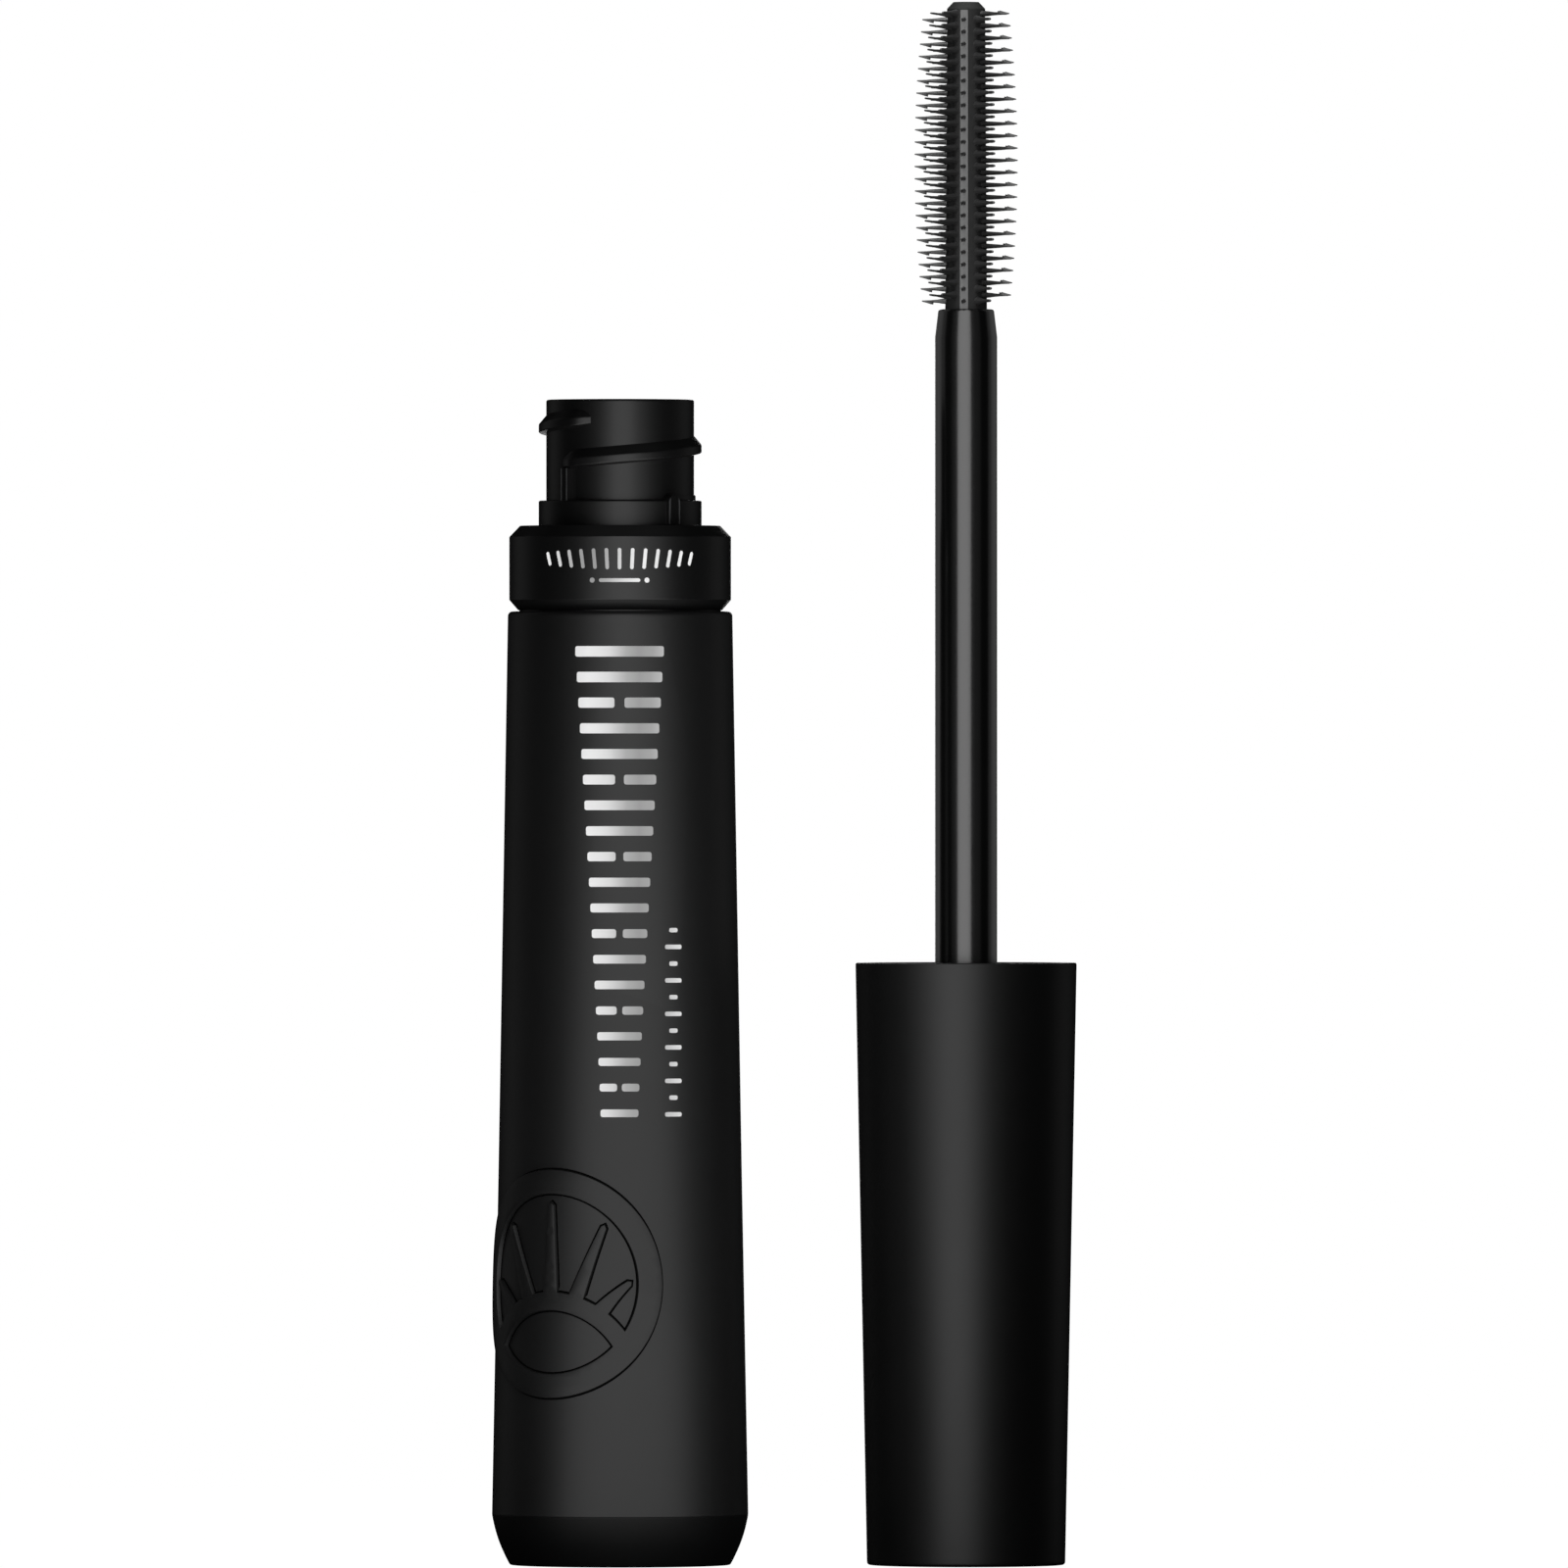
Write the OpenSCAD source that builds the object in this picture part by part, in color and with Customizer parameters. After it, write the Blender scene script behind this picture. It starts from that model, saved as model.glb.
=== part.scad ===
// Mascara tube, open, with its applicator standing on its closed cap end beside the bottle.
// Millimetres. The origin is the centre of the bottle's flat base and Z runs up the bottle's axis.
// The applicator stands on the +X side. The front of both is towards -Y.
// An azimuth is an angle round an upright axis, 0 at the front and growing towards +X.

/* [Bottle] */
// Radius of the flat base
foot_r = 9.02; // [8.6:0.02:9.4]
// Height of the flared foot
foot_h = 4.12; // [3.6:0.02:4.6]
// Radius of the bottle at its widest, on top of the foot
body_low_r = 10.48; // [10.3:0.02:10.9]
// Radius where the body's taper steepens
body_mid_r = 9.95; // [9.8:0.01:10.2]
// Height at which the body's taper steepens
body_mid_z = 31.8; // [26:0.2:38]
// Radius of the sleeve's top edge
body_top_r = 9.17; // [9.0:0.01:9.4]
// Height of the sleeve's top edge
body_top_z = 77.9; // [77.5:0.1:77.9]
// Wall of the outer sleeve
sleeve_wall = 1.15; // [0.9:0.05:1.2]
// Outer radius of the inner bottle
vial_r = 7.5; // [7.0:0.05:7.6]
// Wall of the inner bottle
vial_wall = 1.1; // [0.8:0.05:1.3]

/* [Emblem] */
// Radius of the raised round emblem, measured along the sleeve's surface
emblem_r = 9.44; // [7:0.02:9.6]
// Width of the emblem's rim
emblem_band = 2.1; // [1:0.1:3]
// Height of the emblem's centre
emblem_z = 23.1; // [18:0.1:60]
// Azimuth of the emblem's centre
emblem_azimuth = -33; // [-180:1:180]
// How far the emblem stands proud
emblem_relief = 0.33; // [0.1:0.01:0.4]

/* [Collar] */
// Radius of the collar ring
collar_r = 9.06; // [8.9:0.01:9.3]
// Height of the collar ring's lower face
collar_low_z = 78; // [77.95:0.05:78.2]
// Height of the collar ring's upper face, where the cap's mouth lands
collar_top_z = 84.9; // [84.5:0.1:85.2]

/* [Neck] */
// Radius of the neck
neck_r = 6.04; // [5.95:0.01:6.1]
// Radius of the neck's base ring
neck_ring_r = 6.66; // [6.5:0.01:6.7]
// Height of the top of the neck's base ring
neck_ring_z = 86.95; // [86.5:0.05:87.2]
// Height of the neck's rim
neck_top_z = 95.2; // [94.8:0.1:95.2]
// Radius of the neck's bore
neck_bore_r = 4.85; // [4.8:0.01:4.95]
// Radius of the screw thread's crest
thread_crest_r = 6.66; // [6.5:0.01:6.7]
// Climb of the thread in one turn
thread_lead = 3.3; // [3:0.05:3.4]
// Angle that the thread runs through
thread_angle = 387; // [300:1:400]

/* [Wiper] */
// Radius of the throat that strips the stem
throat_r = 2.6; // [2.56:0.01:2.64]
// Length of the throat
throat_len = 1.6; // [1.2:0.1:2]

/* [Cap] */
// Height of the cap
cap_h = 49.2; // [47:0.1:52]
// Radius of the cap's closed end
cap_end_r = 8.1; // [8:0.02:8.4]
// Radius of the cap's mouth
cap_mouth_r = 9.04; // [9:0.01:9.2]
// Wall of the overcap
cap_wall = 1.1; // [1:0.02:1.1]
// Outer radius of the inner cap
inner_cap_r = 7.88; // [7.8:0.01:7.9]
// Radius of the inner cap's bore
inner_cap_bore_r = 6.85; // [6.82:0.01:6.95]

/* [Wand] */
// Radius of the stem
stem_r = 2.54; // [2.5:0.01:2.55]
// Height of the stem's end, where the brush starts
stem_top_z = 102.6; // [95:0.1:108]
// Length of the brush beyond the stem
brush_len = 25.1; // [20:0.1:27]
// Radius of the brush's core next to the stem
core_low_r = 1.71; // [1.4:0.01:2]
// Radius of the brush's core near its tip
core_top_r = 1.56; // [1.3:0.01:1.9]
// Radius that the longest bristles reach
bristle_reach = 4.26; // [3.5:0.01:4.4]
// Rows of bristles on each side of the front row
side_rows = 5; // [2:1:5]
// Bristles in a row
bristles_per_row = 24; // [12:1:25]
// Distance from one bristle to the next in a row
bristle_pitch = 1; // [0.8:0.01:1]

/* [Layout] */
// Distance from the bottle's axis to the standing applicator's axis
stand_x = 28.27; // [24:0.01:60]

/* [Hidden] */
$fn = 128;

satin_black = [0.085, 0.085, 0.09];
gloss_black = [0.055, 0.055, 0.06];
soft_black = [0.12, 0.12, 0.125];
liner_white = [0.78, 0.78, 0.76];

// Bottle, from the table up
edge_round = 0.35;
shoulder_t = 1.3;
groove_in_r = 7.62;
foot_bulge = 0.28;
foot_edge = 0.25;
plug_wall = 1.2;
plug_floor = 1.6;
plug_top_z = 6.4;
slip_gap = 0.06;
vial_floor_z = 4.6;
vial_floor_t = 1.2;
vial_shoulder_z = 79.4;
base_groove_r = 6.6;
base_groove_w = 0.7;
base_groove_d = 0.3;

// Collar ring
collar_low_chamfer = [0.72, 0.84];
collar_top_chamfer = [0.88, 0.92];

// Neck, stop rib, lug and thread
rim_round = 0.2;
thread_start_azimuth = -50;
thread_start_z = 89.9;
thread_sink = 0.25;
rib_azimuth = -51;
rib_span = 6;
rib_r = 6.6;
lug_azimuth = 35.5;
lug_span = 12;
lug_r = 6.95;
lug_top_z = 87.4;

// Wiper
wiper_flange_t = 0.85;
wiper_flange_r = 5.3;
wiper_low_z = 82.6;
wiper_wall = 0.85;
wiper_skirt_z = 86.5;

// Cap: on the bottle, its mouth lands on the collar ring and the neck fills the inner cap
closed_height = collar_top_z + cap_h;
washer_t = 0.75;
washer_r = 6.5;
washer_gap = 0.05;
ceiling_z = closed_height - neck_top_z - washer_t - washer_gap;
web_t = 1.6;
mouth_clear_r = 7.05;
mouth_clear_h = 2.7;
inner_cap_top_z = cap_h - 0.3;
socket_r = 2.05;
socket_wall = 1.5;
socket_depth = 8;
cap_floor_t = 1.5;

// Wand
stem_neck_z = stem_top_z - 2.3;
stem_end_r = 2.25;
shank_r = 1.1;
shank_len = 7;
brush_tip_z = stem_top_z + brush_len;
tip_taper = 0.55;
tip_r = 1.04;
front_row_azimuth = -6;
first_side_row = 28;
side_row_step = 27;
bristle_lean = 5;
first_bristle_drop = 0.95;
bristle_foot_r = 0.2;
bristle_tip_r = 0.07;
reach_loss = 0.62;
reach_middle_z = brush_tip_z - 13.1;
reach_half = 11.5;

function lerp(a, b, t) = a + (b - a) * t;
function arc(centre, r, from, to, steps = 6) =
    [for (i = [0:steps]) centre + r * [cos(lerp(from, to, i / steps)), sin(lerp(from, to, i / steps))]];
function body_r(z) =
    z < body_mid_z
        ? lerp(body_low_r, body_mid_r, (z - foot_h) / (body_mid_z - foot_h))
        : lerp(body_mid_r, body_top_r, (z - body_mid_z) / (body_top_z - body_mid_z));
function cap_r(z) = lerp(cap_end_r, cap_mouth_r, z / cap_h);
// The foot's flank bulges a little between the base and the widest place
function foot_flank(t) =
    [lerp(foot_r, body_low_r, t) + foot_bulge * sin(180 * t), foot_h * t];
// Brushes of this kind are barrel shaped: the bristles shorten towards both ends
function reach(z) = bristle_reach - reach_loss * pow((z - reach_middle_z) / reach_half, 2);

// Turns a shape so that its +X side faces an azimuth
module face(azimuth) {
    rotate([0, 0, azimuth - 90]) children();
}

// A piece of a ring between two heights, starting at an azimuth
module ring_sector(inner_r, outer_r, low_z, high_z, azimuth, span) {
    face(azimuth) rotate_extrude(angle = span)
        translate([inner_r, low_z]) square([outer_r - inner_r, high_z - low_z]);
}

// A helical ridge. The profile's points are [radius, height], anticlockwise
module ridge(profile, azimuth, start_z, angle) {
    steps = ceil(angle / 8);
    corners = len(profile);
    points = [
        for (i = [0:steps])
            let (a = azimuth - 90 + angle * i / steps, lift = thread_lead * angle * i / steps / 360)
                for (p = profile) [p.x * cos(a), p.x * sin(a), start_z + lift + p.y]
    ];
    sides = [
        for (i = [0:steps - 1])
            for (j = [0:corners - 1])
                let (a = i * corners + j, b = i * corners + (j + 1) % corners)
                    each [[a, b, b + corners], [a, b + corners, a + corners]]
    ];
    start_cap = [for (j = [corners - 1:-1:0]) j];
    end_cap = [for (j = [0:corners - 1]) steps * corners + j];
    polyhedron(points, concat([start_cap, end_cap], sides));
}

// The emblem is round along the curved surface, so seen straight on it is narrower than tall
module emblem_outline(r) {
    half_w = body_r(emblem_z) * sin(180 / PI * r / body_r(emblem_z));
    polygon([for (a = [0:10:350]) [r * sin(a), half_w * cos(a)]]);
}

module emblem_rim() {
    intersection() {
        rotate_extrude() polygon([
            [body_r(foot_h) - sleeve_wall / 2, foot_h],
            [body_r(foot_h) + emblem_relief, foot_h],
            [body_mid_r + emblem_relief, body_mid_z],
            [body_r(body_top_z / 2 + foot_h) + emblem_relief, body_top_z / 2 + foot_h],
            [body_r(body_top_z / 2 + foot_h) - sleeve_wall / 2, body_top_z / 2 + foot_h],
            [body_mid_r - sleeve_wall / 2, body_mid_z]
        ]);
        translate([0, 0, emblem_z]) face(emblem_azimuth) rotate([0, -90, 0]) rotate([0, 180, 0])
            linear_extrude(2 * body_low_r) difference() {
                emblem_outline(emblem_r);
                emblem_outline(emblem_r - emblem_band);
            }
    }
}

module outer_sleeve() {
    color(satin_black) union() {
        rotate_extrude() polygon(concat(
            [
                [body_low_r - sleeve_wall, foot_h],
                [body_low_r, foot_h],
                [body_mid_r, body_mid_z]
            ],
            arc([body_top_r - edge_round, body_top_z - edge_round], edge_round, 0, 90),
            [
                [groove_in_r, body_top_z],
                [groove_in_r, body_top_z - shoulder_t],
                [body_r(body_top_z - shoulder_t) - sleeve_wall, body_top_z - shoulder_t],
                [body_mid_r - sleeve_wall, body_mid_z]
            ]
        ));
        emblem_rim();
    }
}

module foot_plug() {
    spigot_r = body_low_r - sleeve_wall - slip_gap - 0.05;
    color(satin_black) difference() {
        rotate_extrude() polygon(concat(
            [[0, 0], [foot_r - foot_edge, 0], foot_flank(0.06)],
            [for (t = [0.2:0.2:0.8]) foot_flank(t)],
            [
                [body_low_r, foot_h],
                [spigot_r, foot_h],
                [spigot_r, plug_top_z],
                [spigot_r - plug_wall, plug_top_z],
                [spigot_r - plug_wall, plug_floor],
                [vial_r - 2, plug_floor],
                [vial_r - 2, vial_floor_z],
                [vial_r - 3, vial_floor_z],
                [vial_r - 3, plug_floor],
                [0, plug_floor]
            ]
        ));
        translate([0, 0, -1]) difference() {
            cylinder(h = 1 + base_groove_d, r = base_groove_r);
            cylinder(h = 1 + base_groove_d, r = base_groove_r - base_groove_w);
        }
    }
}

module neck_thread() {
    root_r = neck_r - thread_sink;
    ridge(
        [[root_r, -0.5], [thread_crest_r, -0.28], [thread_crest_r, 0.28], [root_r, 1.35]],
        thread_start_azimuth, thread_start_z, thread_angle
    );
}

module inner_bottle() {
    vial_in_r = vial_r - vial_wall;
    bore_step_z = neck_top_z - wiper_flange_t - 0.05;
    color(gloss_black) union() {
        rotate_extrude() polygon(concat(
            [
                [0, vial_floor_z],
                [vial_r - 1, vial_floor_z],
                [vial_r, vial_floor_z + 1],
                [vial_r, vial_shoulder_z],
                [neck_ring_r, vial_shoulder_z],
                [neck_ring_r, neck_ring_z],
                [neck_r, neck_ring_z]
            ],
            arc([neck_r - rim_round, neck_top_z - rim_round], rim_round, 0, 90, 4),
            [
                [wiper_flange_r + slip_gap, neck_top_z],
                [wiper_flange_r + slip_gap, bore_step_z],
                [neck_bore_r, bore_step_z],
                [neck_bore_r, vial_shoulder_z],
                [vial_in_r, vial_shoulder_z - 2.4],
                [vial_in_r, vial_floor_z + vial_floor_t + 1],
                [vial_in_r - 1, vial_floor_z + vial_floor_t],
                [0, vial_floor_z + vial_floor_t]
            ]
        ));
        neck_thread();
        ring_sector(neck_r - thread_sink, rib_r, neck_ring_z - 0.2, 89.6, rib_azimuth, rib_span);
        ring_sector(neck_r - thread_sink, lug_r, collar_top_z + 0.05, lug_top_z, lug_azimuth, lug_span);
    }
}

module collar_ring() {
    low = collar_low_chamfer;
    top = collar_top_chamfer;
    color(gloss_black) rotate_extrude() polygon([
        [vial_r + slip_gap, collar_low_z],
        [collar_r - low.x, collar_low_z],
        [collar_r, collar_low_z + low.y],
        [collar_r, collar_top_z - top.y],
        [collar_r - top.x, collar_top_z],
        [neck_ring_r + slip_gap, collar_top_z],
        [neck_ring_r + slip_gap, vial_shoulder_z + 0.1],
        [vial_r + slip_gap, vial_shoulder_z + 0.1]
    ]);
}

module wiper() {
    outer_r = neck_bore_r - slip_gap;
    inner_r = outer_r - wiper_wall;
    throat_top_z = wiper_low_z + throat_len;
    color(soft_black) rotate_extrude() polygon([
        [throat_r, wiper_low_z],
        [throat_r + 0.7, wiper_low_z],
        [outer_r, wiper_skirt_z],
        [outer_r, neck_top_z - wiper_flange_t],
        [wiper_flange_r, neck_top_z - wiper_flange_t],
        [wiper_flange_r, neck_top_z - 0.05],
        [inner_r + 0.4, neck_top_z - 0.05],
        [inner_r, neck_top_z - 0.6],
        [inner_r, wiper_skirt_z + 0.6],
        [throat_r, throat_top_z]
    ]);
}

module overcap() {
    translate([stand_x, 0, 0]) color(satin_black) rotate_extrude() polygon(concat(
        [[0, 0]],
        arc([cap_end_r - 0.25, 0.25], 0.25, -90, 0),
        arc([cap_mouth_r - 0.15, cap_h - 0.15], 0.15, 0, 90, 4),
        [
            [cap_mouth_r - cap_wall, cap_h],
            [cap_r(cap_floor_t) - cap_wall, cap_floor_t],
            [0, cap_floor_t]
        ]
    ));
}

module inner_cap_thread() {
    ridge_profile = [
        [neck_r + 0.16, -1.45],
        [inner_cap_bore_r + 0.2, -1.75],
        [inner_cap_bore_r + 0.2, -0.42],
        [neck_r + 0.16, -0.68]
    ];
    start_azimuth = rib_azimuth + rib_span + 6;
    turned = start_azimuth - thread_start_azimuth;
    translate([0, 0, closed_height]) rotate([0, 180, 0])
        ridge(ridge_profile, start_azimuth, thread_start_z + thread_lead * turned / 360, 330);
}

module inner_cap() {
    low_z = ceiling_z - web_t - socket_depth;
    // Clear of the overcap's tapered inside all the way down
    foot_out_r = min(inner_cap_r, cap_r(ceiling_z - web_t) - cap_wall - slip_gap);
    translate([stand_x, 0, 0]) color(gloss_black) union() {
        rotate_extrude() polygon([
            [socket_r + slip_gap, low_z],
            [socket_r + socket_wall, low_z],
            [socket_r + socket_wall, ceiling_z - web_t],
            [foot_out_r, ceiling_z - web_t],
            [inner_cap_r, inner_cap_top_z],
            [mouth_clear_r, inner_cap_top_z],
            [mouth_clear_r, cap_h - mouth_clear_h],
            [inner_cap_bore_r, cap_h - mouth_clear_h - 0.2],
            [inner_cap_bore_r, ceiling_z],
            [socket_r + slip_gap, ceiling_z]
        ]);
        inner_cap_thread();
    }
}

module seal_washer() {
    translate([stand_x, 0, ceiling_z + washer_gap]) color(liner_white) difference() {
        cylinder(h = washer_t, r = washer_r);
        translate([0, 0, -1]) cylinder(h = washer_t + 2, r = stem_r + slip_gap);
    }
}

module stem() {
    translate([stand_x, 0, 0]) color(gloss_black) difference() {
        rotate_extrude() polygon(concat(
            [
                [0, ceiling_z - web_t - socket_depth + 0.4],
                [socket_r - 0.3, ceiling_z - web_t - socket_depth + 0.4],
                [socket_r, ceiling_z - web_t - socket_depth + 1],
                [socket_r, ceiling_z],
                [stem_r, ceiling_z],
                [stem_r, stem_neck_z]
            ],
            arc([stem_end_r - 0.3, stem_top_z - 0.3], 0.3, 0, 90),
            [[0, stem_top_z]]
        ));
        translate([0, 0, stem_top_z - shank_len - 0.5])
            cylinder(h = shank_len + 1, r = shank_r + slip_gap);
    }
}

// A row of bristles. A high row starts half a pitch nearer the tip, and lean tips it up
module bristle_row(azimuth, high, lean = 0) {
    top_z = brush_tip_z - first_bristle_drop - (high ? 0 : bristle_pitch / 2);
    for (i = [0:bristles_per_row - 1]) {
        z = top_z - bristle_pitch * i;
        length = reach(z) - bristle_tip_r * sin(lean) - core_top_r + 0.4;
        translate([0, 0, z]) face(azimuth) translate([core_top_r - 0.4, 0, 0]) rotate([0, 90 - lean, 0])
            cylinder(h = length, r1 = bristle_foot_r, r2 = bristle_tip_r, $fn = 16);
    }
}

module brush() {
    translate([stand_x, 0, 0]) color(soft_black) union() {
        rotate_extrude() polygon([
            [0, stem_top_z - shank_len],
            [shank_r, stem_top_z - shank_len],
            [shank_r, stem_top_z],
            [core_low_r, stem_top_z],
            [core_top_r, brush_tip_z - tip_taper],
            [tip_r, brush_tip_z],
            [0, brush_tip_z]
        ]);
        bristle_row(front_row_azimuth, high = false);
        // Side by side, the -X side's longest rows stand low where the +X side's stand high
        for (i = [0:side_rows - 1]) {
            azimuth = first_side_row + side_row_step * i;
            bristle_row(azimuth, high = i > 0);
            bristle_row(-azimuth, high = i != 2 && i != 3, lean = i == 1 ? bristle_lean : 0);
        }
    }
}

outer_sleeve();
foot_plug();
inner_bottle();
collar_ring();
wiper();
overcap();
inner_cap();
seal_washer();
stem();
brush();
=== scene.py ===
import math
from collections import namedtuple

import bmesh
import bpy
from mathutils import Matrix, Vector
from mathutils.geometry import delaunay_2d_cdt


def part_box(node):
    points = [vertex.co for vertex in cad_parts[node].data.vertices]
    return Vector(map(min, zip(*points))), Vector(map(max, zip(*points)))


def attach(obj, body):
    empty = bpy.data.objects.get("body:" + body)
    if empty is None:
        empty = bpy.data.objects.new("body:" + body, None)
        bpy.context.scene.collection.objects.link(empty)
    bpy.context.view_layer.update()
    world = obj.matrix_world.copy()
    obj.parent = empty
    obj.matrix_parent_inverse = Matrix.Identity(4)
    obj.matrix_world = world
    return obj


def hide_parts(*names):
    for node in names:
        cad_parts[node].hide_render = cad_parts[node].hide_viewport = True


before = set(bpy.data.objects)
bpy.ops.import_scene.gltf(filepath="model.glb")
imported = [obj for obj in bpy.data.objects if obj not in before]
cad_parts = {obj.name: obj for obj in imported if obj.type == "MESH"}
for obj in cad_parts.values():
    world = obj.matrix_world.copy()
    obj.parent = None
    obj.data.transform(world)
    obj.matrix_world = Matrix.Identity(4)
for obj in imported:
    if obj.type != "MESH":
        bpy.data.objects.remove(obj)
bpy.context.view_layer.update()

# A mascara tube: the open bottle, and its applicator standing on the cap beside it.
# Shapes are given in millimetres round an upright axis. An azimuth is 0 at the front and grows towards +X.

MM = 0.001
ROUND_STEPS = 192
SHARP_ANGLE = math.radians(34)

Upright = namedtuple("Upright", "axis radius low top")


# ---------------------------------------------------------------- places from the frame

def upright(node, axis):
    """Axis, radius, lowest and highest point of a CAD node, in millimetres."""
    low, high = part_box(node)
    return Upright(axis, high.x / MM - axis, low.z / MM, high.z / MM)


def stand_axis():
    low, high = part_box("overcap")
    return (low.x + high.x) / 2 / MM


STAND_X = stand_axis()
SLEEVE = upright("outer_sleeve", 0)
FOOT = upright("foot_plug", 0)
NECK = upright("inner_bottle", 0)
COLLAR = upright("collar_ring", 0)
WIPER = upright("wiper", 0)
CAP = upright("overcap", STAND_X)
INSERT = upright("inner_cap", STAND_X)
LINER = upright("seal_washer", STAND_X)
STEM = upright("stem", STAND_X)
BRUSH = upright("brush", STAND_X)

# Sleeve and foot
SLEEVE_MID_R, SLEEVE_MID_Z = 9.95, 31.8
SLEEVE_TOP_R = 9.17
SLEEVE_WALL = 1.15
FOOT_R = 9.02
FOOT_BULGE = 0.2

# Neck, seen above the collar
NECK_R = 6.04
RING_R, RING_TOP = 6.66, 86.95
BORE_R = 4.85
RIM_SEAT_R = 5.36
THREAD_R = 6.66
THREAD_LEAD = 3.3
THREAD_START, THREAD_START_Z, THREAD_TURN = -50, 89.9, 387

# Cap and wand
CAP_END_R = 8.1
CAP_WALL = 1.1
CEILING_Z = LINER.low - 0.05
STEM_R = 2.54
STEM_NECK_Z = STEM.top - 2.3
CORE_LOW_R, CORE_TOP_R, TIP_R = 1.71, 1.56, 1.04


def blend(a, b, t):
    return a + (b - a) * t


def sleeve_r(z):
    """Radius of the sleeve's flank at a height."""
    if z < SLEEVE_MID_Z:
        return blend(SLEEVE.radius, SLEEVE_MID_R, (z - SLEEVE.low) / (SLEEVE_MID_Z - SLEEVE.low))
    return blend(SLEEVE_MID_R, SLEEVE_TOP_R, (z - SLEEVE_MID_Z) / (SLEEVE.top - SLEEVE_MID_Z))


# ---------------------------------------------------------------- finishes

class Wire:
    """A value in a finish's node tree. Sums with it add Math nodes."""

    def __init__(self, finish, socket):
        self.finish, self.socket = finish, socket

    def maths(self, operation, a, b):
        return self.finish.node("ShaderNodeMath", {"operation": operation}, {0: a, 1: b})

    def __add__(self, other):
        return self.maths("ADD", self, other)

    def __radd__(self, other):
        return self.maths("ADD", other, self)

    def __sub__(self, other):
        return self.maths("SUBTRACT", self, other)

    def __rsub__(self, other):
        return self.maths("SUBTRACT", other, self)

    def __mul__(self, other):
        return self.maths("MULTIPLY", self, other)

    def __rmul__(self, other):
        return self.maths("MULTIPLY", other, self)


class Finish:
    """One material, built round a Principled shader."""

    def __init__(self, name, **constants):
        self.material = bpy.data.materials.new(name)
        self.material.use_nodes = True
        self.tree = self.material.node_tree
        self.shader = self.tree.nodes["Principled BSDF"]
        for socket, value in constants.items():
            self.shader.inputs[socket.replace("_", " ")].default_value = value
        self.place = self.node("ShaderNodeTexCoord", {}, {}, "Object")

    def node(self, kind, settings, inputs, output=0):
        made = self.tree.nodes.new(kind)
        for name, value in settings.items():
            if name == "stops":
                self.set_stops(made.color_ramp, value)
            else:
                setattr(made, name, value)
        for name, value in inputs.items():
            self.feed(made.inputs[name], value)
        return Wire(self, made.outputs[output])

    def set_stops(self, ramp, stops):
        while len(ramp.elements) < len(stops):
            ramp.elements.new(1)
        for element, (place, value) in zip(ramp.elements, stops):
            element.position = place
            element.color = (value, value, value, 1)

    def feed(self, socket, value):
        if isinstance(value, Wire):
            self.tree.links.new(value.socket, socket)
        else:
            socket.default_value = value

    def noise(self, size_mm, detail=3, stretch=(1, 1, 1)):
        """Noise from 0 to 1 whose blotches are about size_mm across."""
        place = self.node(
            "ShaderNodeVectorMath", {"operation": "MULTIPLY"}, {0: self.place, 1: stretch}, "Vector"
        )
        return self.node(
            "ShaderNodeTexNoise",
            {"noise_dimensions": "3D"},
            {"Vector": place, "Scale": 1 / (size_mm * MM), "Detail": detail, "Roughness": 0.55},
            "Fac",
        )

    def between(self, factor, low, high):
        """A colour that goes from low to high with the factor."""
        return self.node(
            "ShaderNodeMix",
            {"data_type": "RGBA"},
            {"Factor": factor, "A": (*low, 1), "B": (*high, 1)},
            "Result",
        )

    def colour(self, wire):
        self.feed(self.shader.inputs["Base Color"], wire)

    def roughness(self, wire):
        self.feed(self.shader.inputs["Roughness"], wire)

    def bump(self, height, depth_mm):
        """Relief of depth_mm where height goes from 0 to 1."""
        normal = self.node("ShaderNodeBump", {}, {"Distance": depth_mm * MM, "Height": height}, "Normal")
        self.feed(self.shader.inputs["Normal"], normal)


def grey(value, warmth=0.0):
    return (value * (1 + warmth), value, value * (1 - warmth))


def moulded_black(name, low, high, rough, grain_mm, grain_depth, specular=0.5):
    """Moulded black plastic: faint flow marks in the colour, wiped and unwiped sheen, and a fine grain."""
    f = Finish(name, Metallic=0.0, IOR=1.5, Specular_IOR_Level=specular)
    flow = f.noise(6, 4, (1, 1, 0.35))
    wiped = f.noise(2.2, 5)
    grain = f.noise(grain_mm, 2)
    f.colour(f.between(flow * 0.7 + wiped * 0.3, grey(low, -0.03), grey(high, -0.03)))
    f.roughness(rough - 0.03 + flow * 0.025 + wiped * 0.035)
    f.bump(grain * 0.8 + wiped * 0.2, grain_depth)
    return f.material


def satin_black():
    return moulded_black(
        "satin_black", low=0.0016, high=0.0028, rough=0.47, grain_mm=0.11, grain_depth=0.0009
    )


def neck_black():
    return moulded_black(
        "neck_black", low=0.0014, high=0.0024, rough=0.4, grain_mm=0.16, grain_depth=0.0006
    )


def foot_black():
    return moulded_black(
        "foot_black", low=0.0012, high=0.002, rough=0.47, grain_mm=0.11, grain_depth=0.0009, specular=0.25
    )


def crease_painted_shade():
    """Near-black finish for the foot of a moulded step: painted shade, standing in for the shadow in the
    crease.
    """
    return moulded_black(
        "crease_painted_shade", low=0.0002, high=0.0005, rough=0.8, grain_mm=0.11, grain_depth=0.0003, specular=0.04
    )


def edge_painted_highlight():
    """Paler edges of the rib and the lug: a painted highlight, thin light lines along their upright edges."""
    return moulded_black(
        "edge_painted_highlight", low=0.05, high=0.075, rough=0.38, grain_mm=0.16, grain_depth=0.0006
    )


def stem_black():
    return moulded_black(
        "stem_black", low=0.0015, high=0.0026, rough=0.21, grain_mm=0.3, grain_depth=0.0005, specular=1.0
    )


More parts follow.
